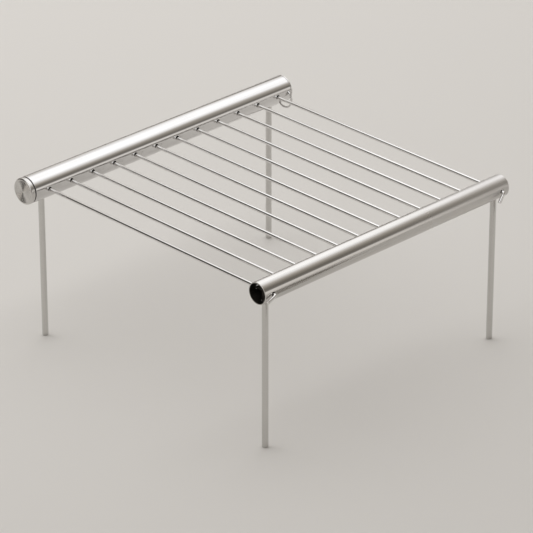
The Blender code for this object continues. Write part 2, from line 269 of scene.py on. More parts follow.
@dataclass(frozen=True)
class DrawnSteel:
    """Stainless steel with fine lines along its axis, from drawing and polishing."""

    name: str
    axis: Axis
    dark: Triple = (0.625, 0.615, 0.605)
    light: Triple = (0.74, 0.732, 0.73)
    roughness: float = 0.085
    roughness_spread: float = 0.05
    lines: Grain = Grain(12, 2600, (0, 0, 0), 3)
    streaks: Grain = Grain(7, 620, (0.5, 0.2, 0.4), 2)
    rings: Grain = Grain(5200, 150, (0.3, 0.1, 0.7), 2)
    cloud_scale: float = 45
    line_strength: float = 0.06
    line_depth: float = 0.02 * MM
    brushed: float = 0.0
    brushed_from: float = 0.0
    brushed_to: float = 1.0

    def material(self) -> Material:
        """Makes the material.

        Returns:
            The material.
        """
        dress = Dress(self.name)
        lines = dress.grain(self.axis, self.lines)
        streaks = dress.grain(self.axis, self.streaks)
        rings = dress.grain(self.axis, self.rings)
        cloud = dress.noise(dress.place(), self.cloud_scale, 3)
        tone = (0.30 * lines + 0.30 * streaks + 0.15 * rings + 0.25 * cloud).clamped()
        height = 0.7 * lines + 0.3 * rings
        roughness = self.roughness + self.roughness_spread * (tone - 0.5)
        if self.brushed:
            roughness += self._worn(dress)
        colour = dress.ramp(tone, [(0.30, self.dark), (0.70, self.light)])
        return dress.metal(colour, roughness, dress.bump(height, self.line_strength, self.line_depth))

    def _worn(self, dress: Dress) -> Value:
        """The roughness that a more brushed end adds, which grows along X."""
        share = dress.parts(dress.place())[0] - self.brushed_from
        return self.brushed * (share / (self.brushed_to - self.brushed_from)).clamped()


@dataclass(frozen=True)
class TurnedSteel:
    """Stainless steel from the lathe, with fine rings about an axis along X."""

    name: str
    centre: Triple
    dark: Triple = (0.58, 0.565, 0.545)
    light: Triple = (0.70, 0.69, 0.675)
    roughness: float = 0.22
    roughness_spread: float = 0.12
    ring_scale: float = 9000
    cloud_scale: float = 260
    ring_strength: float = 0.15
    ring_depth: float = 0.01 * MM

    def material(self) -> Material:
        """Makes the material.

        Returns:
            The material.
        """
        dress = Dress(self.name)
        shift = tuple(-part for part in self.centre)
        _, across, up = dress.parts(dress.stretched(shift, (1, 1, 1)))
        radius = (across * across + up * up).root()
        rings = dress.value("ShaderNodeTexNoise", {"noise_dimensions": "1D"},
                            {"W": radius, "Scale": self.ring_scale, "Detail": 2})
        cloud = dress.noise(dress.place(), self.cloud_scale, 2)
        tone = (0.6 * rings + 0.4 * cloud).clamped()
        roughness = self.roughness + self.roughness_spread * (tone - 0.5)
        colour = dress.ramp(tone, [(0.30, self.dark), (0.72, self.light)])
        return dress.metal(colour, roughness, dress.bump(rings, self.ring_strength, self.ring_depth))


@dataclass(frozen=True)
class PaintedShadeSteel:
    """The rough, unpolished inside of a drawn tube, whose near-black colour is painted shade."""

    name: str
    axis: Axis
    # Near-black colours: painted shade for the inside, where little light reaches.
    dark: Triple = (0.028, 0.025, 0.023)
    light: Triple = (0.075, 0.069, 0.062)
    roughness: float = 0.48
    roughness_spread: float = 0.2
    lines: Grain = Grain(30, 1500, (0, 0, 0), 3)
    stain_scale: float = 160
    line_strength: float = 0.3
    line_depth: float = 0.05 * MM

    def material(self) -> Material:
        """Makes the material.

        Returns:
            The material.
        """
        dress = Dress(self.name)
        lines = dress.grain(self.axis, self.lines)
        stain = dress.noise(dress.place(), self.stain_scale, 4)
        tone = (0.5 * lines + 0.5 * stain).clamped()
        roughness = self.roughness + self.roughness_spread * (tone - 0.5)
        colour = dress.ramp(tone, [(0.32, self.dark), (0.70, self.light)])
        return dress.metal(colour, roughness, dress.bump(lines, self.line_strength, self.line_depth))


@dataclass(frozen=True)
class BlackRubber:
    """The matt black rubber of a seal."""

    name: str
    colour: Triple = (0.022, 0.018, 0.016)
    worn: Triple = (0.055, 0.047, 0.042)
    roughness: float = 0.55
    roughness_spread: float = 0.25
    grain_scale: float = 2400
    grain_strength: float = 0.2
    grain_depth: float = 0.03 * MM

    def material(self) -> Material:
        """Makes the material.

        Returns:
            The material.
        """
        dress = Dress(self.name)
        grain = dress.noise(dress.place(), self.grain_scale, 3)
        return dress.finish({
            "Base Color": dress.ramp(grain, [(0.35, self.colour), (0.75, self.worn)]),
            "Roughness": self.roughness + self.roughness_spread * grain,
            "Normal": dress.bump(grain, self.grain_strength, self.grain_depth),
        })


@dataclass(frozen=True)
class PaleFloor:
    """The plain floor, pale and matt."""

    name: str
    colour: Triple = (0.73, 0.71, 0.682)
    roughness: float = 0.8

    def material(self) -> Material:
        """Makes the material."""
        return Dress(self.name).finish({
            "Base Color": (*self.colour, 1), "Roughness": self.roughness, "Specular IOR Level": 0.0,
        })


# The work bench


class Ring(NamedTuple):
    """One ring of a turned piece: its radius, and its place along the axis."""

    radius: float
    along: float


class Kind(Enum):
    """What is picked in an open mesh."""

    FACE = "faces"
    EDGE = "edges"


def clear_bench() -> None:
    """Leaves edit mode and deselects everything, so that only a new piece is worked on."""
    if bpy.context.mode != "OBJECT":
        bpy.ops.object.mode_set(mode="OBJECT")
    bpy.ops.object.select_all(action="DESELECT")


def pick(piece: Piece) -> None:
    """Selects one piece alone and makes it the active one.

    Args:
        piece: The piece.
    """
    clear_bench()
    piece.select_set(True)
    bpy.context.view_layer.objects.active = piece


def open_mesh(piece: Piece) -> None:
    """Opens a piece in edit mode."""
    pick(piece)
    bpy.ops.object.mode_set(mode="EDIT")


def close_mesh() -> None:
    """Goes back to object mode."""
    bpy.ops.object.mode_set(mode="OBJECT")


def pick_all() -> None:
    """Selects the whole of the open mesh."""
    bpy.ops.mesh.select_all(action="SELECT")


def pick_parts(kind: Kind, test: Callable[..., bool]) -> int:
    """Selects the parts of the open mesh that pass a test.

    Args:
        kind: Which parts are looked at.
        test: True for a part to select.

    Returns:
        How many they are.
    """
    bpy.ops.mesh.select_mode(type=kind.name)
    bpy.ops.mesh.select_all(action="DESELECT")
    mesh = bmesh.from_edit_mesh(bpy.context.edit_object.data)
    chosen = [part for part in getattr(mesh, kind.value) if test(part)]
    for part in chosen:
        part.select_set(True)
    bmesh.update_edit_mesh(bpy.context.edit_object.data)
    return len(chosen)


def close_up(piece: Piece) -> None:
    """Fills the open ends of a piece, and turns its faces outwards.

    Args:
        piece: The piece.
    """
    open_mesh(piece)
    pick_all()
    bpy.ops.mesh.fill_holes(sides=0)
    pick_all()
    bpy.ops.mesh.normals_make_consistent(inside=False)
    close_mesh()


def settle(piece: Piece) -> None:
    """Puts a piece's place and turn into its mesh, so that its object sits at the origin."""
    pick(piece)
    bpy.ops.object.transform_apply(location=True, rotation=True, scale=True)


def smooth(piece: Piece) -> None:
    """Shades a piece smooth, with its sharp edges kept."""
    pick(piece)
    bpy.ops.object.shade_smooth_by_angle(angle=SMOOTH_ANGLE)


def copied(piece: Piece, name: str, move: Vector) -> Piece:
    """Copies a finished piece, with a mesh of its own, to another place.

    Args:
        piece: The finished piece.
        name: The copy's name.
        move: The way from the piece to its copy.

    Returns:
        The copy.
    """
    pick(piece)
    bpy.ops.object.duplicate_move(TRANSFORM_OT_translate={"value": move})
    copy = bpy.context.object
    copy.name = copy.data.name = name
    settle(copy)
    return copy


def joined(pieces: Sequence[Piece]) -> Piece:
    """Joins pieces into the first of them.

    Args:
        pieces: The pieces.

    Returns:
        The first piece.
    """
    pick(pieces[0])
    for piece in pieces[1:]:
        piece.select_set(True)
    if len(pieces) > 1:
        bpy.ops.object.join()
    return pieces[0]


def cut(piece: Piece, cutters: Sequence[Piece]) -> None:
    """Cuts shapes out of a piece, and removes the shapes.

    Args:
        piece: The piece.
        cutters: The shapes.
    """
    cutter = joined(cutters)
    boolean = piece.modifiers.new("Holes", "BOOLEAN")
    boolean.operation = "DIFFERENCE"
    boolean.solver = "EXACT"
    boolean.object = cutter
    pick(piece)
    bpy.ops.object.modifier_apply(modifier=boolean.name)
    bpy.data.objects.remove(cutter, do_unlink=True)


def rod_cutter(start: Vector, axis: Axis, length: float, radius: float, steps: int) -> Piece:
    """Makes a cylinder that cuts a round hole.

    Args:
        start: The middle of the end that it starts from.
        axis: The axis that it runs along.
        length: Its length.
        radius: Its radius.
        steps: How many sides it has.

    Returns:
        The cylinder.
    """
    clear_bench()
    middle = start + axis.direction * (length / 2)
    bpy.ops.mesh.primitive_cylinder_add(
        vertices=steps, radius=radius, depth=length, location=middle, rotation=axis.turn,
    )
    cutter = bpy.context.object
    settle(cutter)
    return cutter


def paint_shade_on_faces(piece: Piece, steel: PaintedShadeSteel, test: Callable[[Face], bool]) -> None:
    """Gives some faces of a piece the rough finish whose near-black colour is painted shade, in a
    second slot.

    Args:
        piece: The piece, with its outer finish in its first slot.
        steel: The rough finish with the painted shade.
        test: True for a face that gets it.
    """
    piece.data.materials.append(steel.material())
    open_mesh(piece)
    pick_parts(Kind.FACE, test)
    piece.active_material_index = 1
    bpy.ops.object.material_slot_assign()
    close_mesh()


def deburr(piece: Piece, width: float, keep_out: Callable[[Vector], bool]) -> None:
    """Breaks the sharp edges of a piece's holes.

    Args:
        piece: The piece, with its holes cut.
        width: How wide the broken edge is.
        keep_out: True for a place whose edges are left alone.
    """
    open_mesh(piece)

    def sharp(edge: bmesh.types.BMEdge) -> bool:
        """True for a sharp edge that may be broken."""
        middle = (edge.verts[0].co + edge.verts[1].co) / 2
        return edge.calc_face_angle(0) > BURR_ANGLE and not keep_out(middle)

    if pick_parts(Kind.EDGE, sharp):
        bpy.ops.mesh.bevel(offset=width, segments=BURR_STEPS, affect="EDGES", clamp_overlap=True)
    close_mesh()


@dataclass(frozen=True)
class Lathe:
    """Turns a piece: a circle is extruded and resized from one ring to the next."""

    axis: Axis
    centre: Vector
    steps: int

    def turn(self, name: str, rings: Sequence[Ring], closed: bool = False) -> Piece:
        """Makes a turned piece.

        Args:
            name: The new piece's name.
            rings: The rings in order, with the last equal to the first in a closed piece.
            closed: True for a tube or ring, False for a solid piece.

        Returns:
            The piece, with its place in its mesh.
        """
        clear_bench()
        first = rings[0]
        bpy.ops.mesh.primitive_circle_add(
            vertices=self.steps, radius=first.radius, fill_type="NOTHING" if closed else "NGON",
            location=self._point(first.along), rotation=self.axis.turn,
        )
        piece = bpy.context.object
        piece.name = piece.data.name = name
        settle(piece)
        bpy.ops.object.mode_set(mode="EDIT")
        bpy.ops.mesh.select_mode(type="VERT")
        pick_all()
        for before, after in zip(rings, rings[1:]):
            self._step(before, after)
        pick_all()
        bpy.ops.mesh.remove_doubles(threshold=MERGE_DISTANCE)
        bpy.ops.mesh.normals_make_consistent(inside=False)
        close_mesh()
        return piece

    def _point(self, along: float) -> Vector:
        """A point on the axis."""
        return self.centre + self.axis.direction * along

    def _step(self, before: Ring, after: Ring) -> None:
        """Extrudes the selected ring to the next one.

        Args:
            before: The selected ring.
            after: The next ring.
        """
        move = self.axis.direction * (after.along - before.along)
        bpy.ops.mesh.extrude_region_move(TRANSFORM_OT_translate={"value": move})
        factor = after.radius / before.radius
        if abs(factor - 1) > SAME_FACTOR:
            scale = self.axis.scale(1.0, factor)
            bpy.ops.transform.resize(value=scale, center_override=self._point(after.along))


def edge_rings(corner: Ring, start: float, stop: float, width: float, count: int) -> list[Ring]:
    """Works out the rings of a rounded edge.

    Args:
        corner: The centre of the rounding.
        start: The angle of the first ring, in degrees from outwards towards along.
        stop: The angle of the last ring.
        width: The radius of the rounding.
        count: How many steps it takes.

    Returns:
        The rings from start to stop.
    """
    rings = []
    for step in range(count + 1):
        turn = math.radians(start + (stop - start) * step / count)
        radius = corner.radius + width * math.cos(turn)
        rings.append(Ring(radius, corner.along + width * math.sin(turn)))
    return rings


def far_end(radius: float, end: float, edge: float) -> list[Ring]:
    """The rings of a rod's far end, from its middle outwards, with its edge rounded."""
    corner = Ring(radius - edge, end - edge)
    return [Ring(radius * HUB_SHARE, end), *edge_rings(corner, 90, 0, edge, END_STEPS)]


def near_end(radius: float, end: float, edge: float) -> list[Ring]:
    """The rings of a rod's near end, towards its middle, with its edge rounded."""
    corner = Ring(radius - edge, end + edge)
    return [*edge_rings(corner, 0, -90, edge, END_STEPS), Ring(radius * HUB_SHARE, end)]


@dataclass(frozen=True)
class Thread:
    """The ridge of a screw thread about an axis along X, as high as half its width."""

    half_width: float
    pitch: float = 1.5 * MM
    sides: int = 12
    steps: int = 48

    def wound(self, name: str, centre: Vector, ring: Ring, turns: float) -> Piece:
        """Makes the ridge, closed at its ends.

        Args:
            name: Its name.
            centre: The point on the axis from which the ring is counted.
            ring: The middle of the ridge where it starts.
            turns: How many turns it makes.

        Returns:
            The ridge.
        """
        clear_bench()
        bpy.ops.mesh.primitive_circle_add(
            vertices=self.sides, radius=self.half_width, fill_type="NOTHING",
            location=centre + Vector((ring.along, 0, ring.radius)), rotation=(math.pi / 2, 0, 0),
        )
        ridge = bpy.context.object
        ridge.name = name
        bpy.context.scene.cursor.location = centre
        bpy.ops.object.transform_apply(location=False, rotation=True, scale=True)
        bpy.ops.object.origin_set(type="ORIGIN_CURSOR")
        screw = ridge.modifiers.new("Thread", "SCREW")
        screw.axis = "X"
        screw.angle = math.tau * turns
        screw.screw_offset = self.pitch * turns
        screw.steps = screw.render_steps = round(self.steps * turns)
        pick(ridge)
        bpy.ops.object.modifier_apply(modifier=screw.name)
        settle(ridge)
        close_up(ridge)
        return ridge


# The grill


@dataclass(frozen=True)
class Layout:
    """The sizes and places that the grill's pieces share, in metres."""

    rod_count: int = 12
    rod_radius: float = 1.4 * MM
    rod_pitch: float = 22.7 * MM
    rod_clearance: float = 0.4 * MM
    straight_drop: float = 0.36 * MM
    hooked_drop: float = 0.26 * MM
    first_rod_x: float = -123.9 * MM
    axis_height: float = 133 * MM
    front_y: float = -125.1 * MM
    rear_y: float = 126.9 * MM
    rear_radius: float = 11 * MM
    rear_bore: float = 10 * MM
    front_radius: float = 9 * MM
    front_bore: float = 8 * MM
    leg_radius: float = 2.5 * MM
    leg_clearance: float = 0.3 * MM
    cap_face_x: float = -142.5 * MM
    rear_mouth_x: float = -137.7 * MM
    rear_end_x: float = 140.9 * MM

    def rod_x(self, index: int) -> float:
        """The place of a rod along the tubes, counted from 0 at the cap end."""
        return self.first_rod_x + index * self.rod_pitch

    def hooked(self, index: int) -> bool:
        """True for the first and the last rod."""
        return index in (0, self.rod_count - 1)

    def rod_height(self, index: int) -> float:
        """The height of a rod's axis, where it rests low in its holes."""
        return self.axis_height - (self.hooked_drop if self.hooked(index) else self.straight_drop)

    @property
    def rear_axis(self) -> Vector:
        """A point on the rear tube's axis."""
        return Vector((0, self.rear_y, self.axis_height))

    @property
    def front_axis(self) -> Vector:
        """A point on the front tube's axis."""
        return Vector((0, self.front_y, self.axis_height))

    @property
    def leg_places(self) -> dict[str, float]:
        """Where the legs stand along the tubes."""
        return {"near": self.first_rod_x, "far": self.rod_x(self.rod_count - 1)}


@dataclass
class HangingRing:
    """The wire ring at the plug end, which runs through two holes of the rear tube."""

    layout: Layout
    wire: float = 0.8 * MM
    around: int = 128
    across: int = 24
    from_face: float = 4.2 * MM
    hole_half_angle: float = math.radians(50)
    beyond_holes: float = 1.6 * MM
    hole_clearance: float = 0.4 * MM
    hole_steps: int = 32
    joint: float = 0.3 * MM
    steel: DrawnSteel = DrawnSteel("ring_wire_steel", Axis.X, roughness=0.16)

    @property
    def _wall(self) -> float:
        """The radius of the middle of the tube's wall."""
        return (self.layout.rear_radius + self.layout.rear_bore) / 2

    @property
    def radius(self) -> float:
        """The ring's radius, to the middle of its wire."""
        return math.hypot(self._wall * math.sin(self.hole_half_angle), self.beyond_holes)

    @property
    def centre(self) -> Vector:
        """The ring's centre."""
        side = (self._wall * math.cos(self.hole_half_angle) + self.beyond_holes) / math.sqrt(2)
        x = -self.layout.cap_face_x - self.from_face
        return self.layout.rear_axis + Vector((x, -side, -side))

    def _torus(self, wire: float, across: int) -> Piece:
        """Makes a torus on the ring's own circle.

        Args:
            wire: The radius of its wire.
            across: How many sides the wire has.

        Returns:
            The torus.
        """
        clear_bench()
        bpy.ops.mesh.primitive_torus_add(
            location=self.centre, rotation=Axis.X.turn, major_segments=self.around,
            minor_segments=across, major_radius=self.radius, minor_radius=wire,
        )
        torus = bpy.context.object
        settle(torus)
        return torus

    def cutter(self) -> Piece:
        """A fatter ring that cuts the two holes in the tube."""
        return self._torus(self.wire + self.hole_clearance, self.hole_steps)

    def build(self) -> Piece:
        """Makes the ring, with its butt joint turned up inside the tube.

        Returns:
            The ring.
        """
        ring = self._torus(self.wire, self.across)
        ring.name = "wire_ring"
        open_mesh(ring)
        inward = Vector((0, 1, 1)).normalized()
        across = Vector((0, 1, -1)).normalized()
        for side in (-1, 1):
            pick_all()
            place = self.centre + across * (side * self.joint / 2)
            bpy.ops.mesh.bisect(plane_co=place, plane_no=across, use_fill=False)

        def in_joint(face: Face) -> bool:
            """True for a face of the strip that is left out at the joint."""
            middle = face.calc_center_median() - self.centre
            return abs(middle.dot(across)) < self.joint / 2 and middle.dot(inward) > 0

        pick_parts(Kind.FACE, in_joint)
        bpy.ops.mesh.delete(type="FACE")
        pick_all()
        bpy.ops.mesh.fill_holes(sides=0)
        close_mesh()
        smooth(ring)
        ring.data.materials.append(self.steel.material())
        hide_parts("hanging_ring")
        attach(ring, "hanging_ring")
        return ring


@dataclass
class PunchedTube:
    """What both tubes share: punched holes with broken edges, and a bore and hole walls with painted
    shade in their colour.
    """

    layout: Layout
    hole_steps: int = 40
    edge_steps: int = 3
    overrun: float = 2 * MM
    burr: float = 0.24 * MM
    rim: float = 0.5 * MM
    skin: float = 0.02 * MM
    skin_margin: float = 1 * MM

    def _rod_cutter(self, index: int, start: float, reach: float) -> Piece:
        """Makes the cutter of one rod hole.

        Args:
            index: The rod's place in the row, from 0.
            start: Where the hole starts in Y.
            reach: How far it goes.

        Returns:
            The cutter.
        """
        place = Vector((self.layout.rod_x(index), start, self.layout.axis_height))
        radius = self.layout.rod_radius + self.layout.rod_clearance
        return rod_cutter(place, Axis.Y, reach, radius, self.hole_steps)

    def _leg_cutters(self, y: float, reach: float) -> list[Piece]:
        """Makes the cutters of the two leg holes in the tube's underside.

        Args:
            y: The place of the tube's axis.
            reach: How far below the axis the cutters start.

        Returns:
            The cutters.
        """
        start = self.layout.axis_height - reach
        radius = self.layout.leg_radius + self.layout.leg_clearance
        return [
            rod_cutter(Vector((x, y, start)), Axis.Z, reach, radius, self.hole_steps)
            for x in self.layout.leg_places.values()
        ]

    def _paint_bore_shade(self, tube: Piece, axis: Vector, bore: float, outer: float, name: str) -> None:
        """Paints shade on the bore, and on the walls of the punched holes, as a near-black rough
        finish of their own.

        Args:
            tube: The tube, with its outer finish in its first slot.
            axis: A point on its axis, which runs along X.
            bore: The radius up to which a face near an end counts as the inside.
            outer: The tube's outer radius.
            name: The name of the finish with the painted shade.
        """
        ends = [corner[0] for corner in tube.bound_box]
        near, far = min(ends) + self.skin_margin, max(ends) - self.skin_margin

        def inside(face: Face) -> bool:
            """True for a face of the bore or of a hole's wall."""
            middle = face.calc_center_median() - axis
            return middle.yz.length < (outer - self.skin if near < middle.x < far else bore)

        # The bore and the hole walls get the near-black colour: painted shade.
        paint_shade_on_faces(tube, PaintedShadeSteel(name, Axis.X), inside)


@dataclass
class RearTube(PunchedTube):
    """The storage tube with its holes, its internal thread and its end plug."""

    steps: int = 256
    edge: float = 0.2 * MM
    bore_margin: float = 0.1 * MM
    thread: Thread = Thread(0.25 * MM)
    thread_relief: float = 0.35 * MM
    thread_reach: float = 7.6 * MM
    thread_turns: float = 3.4
    thread_start: float = 1.35 * MM
    thread_sunk: float = 0.05 * MM
    beyond_thread: float = 1 * MM
    plug_steps: int = 128
    plug_edge_steps: int = 5
    plug_seam: float = 0.2 * MM
    plug_flange: float = 1.4 * MM
    plug_edge: float = 0.4 * MM
    plug_back_edge: float = 0.08 * MM
    plug_depth: float = 0.8 * MM
    plug_clearance: float = 0.2 * MM
    plug_lead: float = 0.2 * MM
    plug_hub: float = 0.4 * MM
    plug_rim: float = 2.2 * MM
    steel: DrawnSteel = DrawnSteel("rear_tube_steel", Axis.X)

    def build(self, ring: HangingRing) -> list[Piece]:
        """Makes the tube and the plug."""
        return [self._tube(ring), self._plug()]

    def _tube(self, ring: HangingRing) -> Piece:
        """Makes the tube itself.

        Args:
            ring: The hanging ring, which runs through two of its holes.

        Returns:
            The tube.
        """
        layout, edge, count = self.layout, self.edge, self.edge_steps
        mouth, end = layout.rear_mouth_x, layout.rear_end_x
        outer, bore = layout.rear_radius, layout.rear_bore
        relief, stop = bore + self.thread_relief, mouth + self.thread_reach
        rings = [
            *edge_rings(Ring(outer - edge, end - edge), 90, 0, edge, count),
            *edge_rings(Ring(outer - edge, mouth + edge), 0, -90, edge, count),
            Ring(relief + edge / 2, mouth),
            Ring(relief, mouth + edge / 2),
            Ring(relief, stop),
            Ring(bore, stop + self.thread_relief),
            Ring(bore, end),
            Ring(outer - edge, end),
        ]
        tube = Lathe(Axis.X, layout.rear_axis, self.steps).turn("rear_tube_shell", rings, True)
        wall = outer + self.overrun
        front = layout.rear_y - wall
        rods = [self._rod_cutter(index, front, wall) for index in range(layout.rod_count)]
        cut(tube, [*rods, *self._leg_cutters(layout.rear_y, wall), ring.cutter()])
        deburr(tube, self.burr, self._at_the_ends)
        place = layout.rear_axis + Vector((mouth, 0, 0))
        start = Ring(relief - self.thread_sunk, self.thread_start)
        joined([tube, self.thread.wound("tube_thread", place, start, self.thread_turns)])
        smooth(tube)
        tube.data.materials.append(self.steel.material())
        # Painted shade on the bore, its thread and the hole walls.
        self._paint_bore_shade(tube, layout.rear_axis, relief + self.bore_margin, outer, "rear_bore_steel")
        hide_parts("rear_tube")
        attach(tube, "rear_tube")
        return tube

    def _at_the_ends(self, place: Vector) -> bool:
        """True at the mouth and at the far end, whose edges are rounded already."""
        near = place.x < self.layout.rear_mouth_x + self.thread_reach + self.beyond_thread
        return near or place.x > self.layout.rear_end_x - self.rim

    def _plug(self) -> Piece:
        """Makes the pressed plug, with a fine seam between it and the tube.

        Returns:
            The plug.
        """
        layout, edge, back_edge = self.layout, self.plug_edge, self.plug_back_edge
        seam = layout.rear_end_x + self.plug_seam
        face = seam + self.plug_flange
        tip = layout.rear_end_x - self.plug_depth
        outer, spigot = layout.rear_radius, layout.rear_bore - self.plug_clearance
        rings = [
            Ring(self.plug_hub, face),
            Ring(outer - self.plug_rim, face),
            *edge_rings(Ring(outer - edge, face - edge), 90, 0, edge, self.plug_edge_steps),
            Ring(outer, seam + back_edge),
            Ring(outer - back_edge, seam),
            Ring(spigot, seam),
            Ring(spigot, tip + self.plug_lead),
            Ring(spigot - self.plug_lead, tip),
            Ring(self.plug_hub, tip),
        ]
        plug = Lathe(Axis.X, layout.rear_axis, self.plug_steps).turn("pressed_plug", rings)
        smooth(plug)
        plug.data.materials.append(TurnedSteel("plug_steel", tuple(layout.rear_axis)).material())
        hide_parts("end_plug")
        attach(plug, "rear_tube")
        return plug


@dataclass
class EndCap:
    """The screwed cap with its turned face and hollow threaded spigot, and the black seal."""

    layout: Layout
    steps: int = 160
    length: float = 3.7 * MM
    edge: float = 1.4 * MM
    edge_steps: int = 8
    back_edge: float = 0.2 * MM
    back_steps: int = 3
    face_hub: float = 0.25 * MM
    face_grooves: int = 30
    groove_depth: float = 0.062 * MM
    groove_margin: float = 0.2 * MM
    wall: float = 1.8 * MM
    seal_steps: int = 128
    seal_gap: float = 0.15 * MM
    seal_width: float = 0.8 * MM
    seal_recess: float = 0.35 * MM
    seal_edge: float = 0.2 * MM
    spigot_length: float = 7.0 * MM
    spigot_clearance: float = 0.25 * MM
    spigot_wall: float = 0.55 * MM
    spigot_lead: float = 0.2 * MM
    thread: Thread = Thread(0.35 * MM)
    thread_tip: float = 10.15 * MM
    thread_land: float = 0.6 * MM

    def build(self) -> list[Piece]:
        """Makes the cap and the seal."""
        return [self._cap(), self._seal()]

    def _face_rings(self, flat: float) -> list[Ring]:
        """Works out the rings of the cap's face, whose turning marks are fine grooves.

        Args:
            flat: The radius of the face's flat.

        Returns:
            The rings from the middle outwards.
        """
        hub, face, count = self.face_hub, self.layout.cap_face_x, 2 * self.face_grooves
        step = (flat - self.groove_margin - hub) / count
        marks = [Ring(hub + step * index, face + self.groove_depth * (index % 2))
                 for index in range(1, count + 1)]
        return [Ring(hub, face), *marks]

    def _cap(self) -> Piece:
        """Makes the cap itself.

        Returns:
            The cap.
        """
        layout = self.layout
        face, outer, back_edge = layout.cap_face_x, layout.rear_radius, self.back_edge
        back, flat = face + self.length, outer - self.edge
        spigot_start = back + self.seal_width + 2 * self.seal_gap
        tip = spigot_start + self.spigot_length
        spigot = layout.rear_bore - self.spigot_clearance
        bore = spigot - self.spigot_wall
        rings = [
            *self._face_rings(flat),
            *edge_rings(Ring(flat, face + self.edge), -90, 0, self.edge, self.edge_steps),
            *edge_rings(Ring(outer - back_edge, back - back_edge), 0, 90, back_edge, self.back_steps),
            Ring(spigot, back),
            Ring(spigot, tip - self.spigot_lead),
            Ring(spigot - self.spigot_lead, tip),
            Ring(bore, tip),
            Ring(bore, face + self.wall),
            Ring(self.face_hub, face + self.wall),
        ]
        cap = Lathe(Axis.X, layout.rear_axis, self.steps).turn("turned_cap", rings)
        place = layout.rear_axis + Vector((spigot_start, 0, 0))
        start = Ring(self.thread_tip - self.thread.half_width, self.thread_land)
        turns = (self.spigot_length - 2 * self.thread_land) / self.thread.pitch
        joined([cap, self.thread.wound("cap_thread", place, start, turns)])
        smooth(cap)
        cap.data.materials.append(TurnedSteel("cap_steel", tuple(layout.rear_axis)).material())
        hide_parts("end_cap")
        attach(cap, "end_cap")
        return cap

    def _seal(self) -> Piece:
        """Makes the black ring in the groove between the cap and the tube.

        Returns:
            The seal.
        """
        layout, edge = self.layout, self.seal_edge
        near = layout.cap_face_x + self.length + self.seal_gap + edge
        far = near + self.seal_width - 2 * edge
        outer = layout.rear_radius - self.seal_recess - edge
        inner = layout.rear_bore - self.spigot_clearance + self.seal_gap + edge
        rings = [
            *edge_rings(Ring(outer, far), 90, 0, edge, END_STEPS),
            *edge_rings(Ring(outer, near), 0, -90, edge, END_STEPS),
            *edge_rings(Ring(inner, near), -90, -180, edge, END_STEPS),
            *edge_rings(Ring(inner, far), 180, 90, edge, END_STEPS),
        ]
        rings.append(rings[0])
        seal = Lathe(Axis.X, layout.rear_axis, self.seal_steps).turn("rubber_seal", rings, True)
        smooth(seal)
        seal.data.materials.append(BlackRubber("seal_rubber").material())
        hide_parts("cap_seal")
        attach(seal, "cap_seal")
        return seal


@dataclass
class FrontTube(PunchedTube):
    """The open front tube, with rod holes in its inner wall and two that go right through."""

    steps: int = 224
    edge: float = 0.22 * MM
    inner_edge: float = 0.42 * MM
    end_margin: float = 8.15 * MM
    bore_margin: float = 0.40 * MM
    steel: DrawnSteel = DrawnSteel(
        "front_tube_steel", Axis.X, (0.57, 0.553, 0.532), (0.68, 0.665, 0.65), 0.11,
        brushed=0.28, brushed_from=-45 * MM, brushed_to=110 * MM,
    )

    def build(self) -> Piece:
        """Makes the tube.

        Returns:
            The tube.
        """
        layout, count = self.layout, self.edge_steps
        edge, inner = self.edge, self.inner_edge
        near = layout.leg_places["near"] - self.end_margin
        far = layout.leg_places["far"] + self.end_margin
        outer, bore = layout.front_radius, layout.front_bore
        rings = [
            *edge_rings(Ring(outer - edge, far - edge), 90, 0, edge, count),
            *edge_rings(Ring(outer - edge, near + edge), 0, -90, edge, count),
            *edge_rings(Ring(bore + inner, near + inner), -90, -180, inner, count),
            *edge_rings(Ring(bore + inner, far - inner), 180, 90, inner, count),
        ]
        rings.append(rings[0])
        tube = Lathe(Axis.X, layout.front_axis, self.steps).turn("front_tube_shell", rings, True)
        wall = outer + self.overrun
        cut(tube, [*self._rod_cutters(wall), *self._leg_cutters(layout.front_y, wall)])
        deburr(tube, self.burr, lambda place: not near + self.rim < place.x < far - self.rim)
        smooth(tube)
        tube.data.materials.append(self.steel.material())
        # Painted shade on the bore and the hole walls.
        self._paint_bore_shade(tube, layout.front_axis, bore + self.bore_margin, outer, "front_bore_steel")
        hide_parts("front_tube")
        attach(tube, "front_tube")
        return tube

    def _rod_cutters(self, wall: float) -> list[Piece]:
        """Makes the cutters of the rod holes; the hooked rods' holes go right through.

        Args:
            wall: How far a hole goes from the tube's axis.

        Returns:
            The cutters.
        """
        axis = self.layout.front_y
        return [
            self._rod_cutter(index, axis - wall, 2 * wall) if self.layout.hooked(index)
            else self._rod_cutter(index, axis, wall)
            for index in range(self.layout.rod_count)
        ]


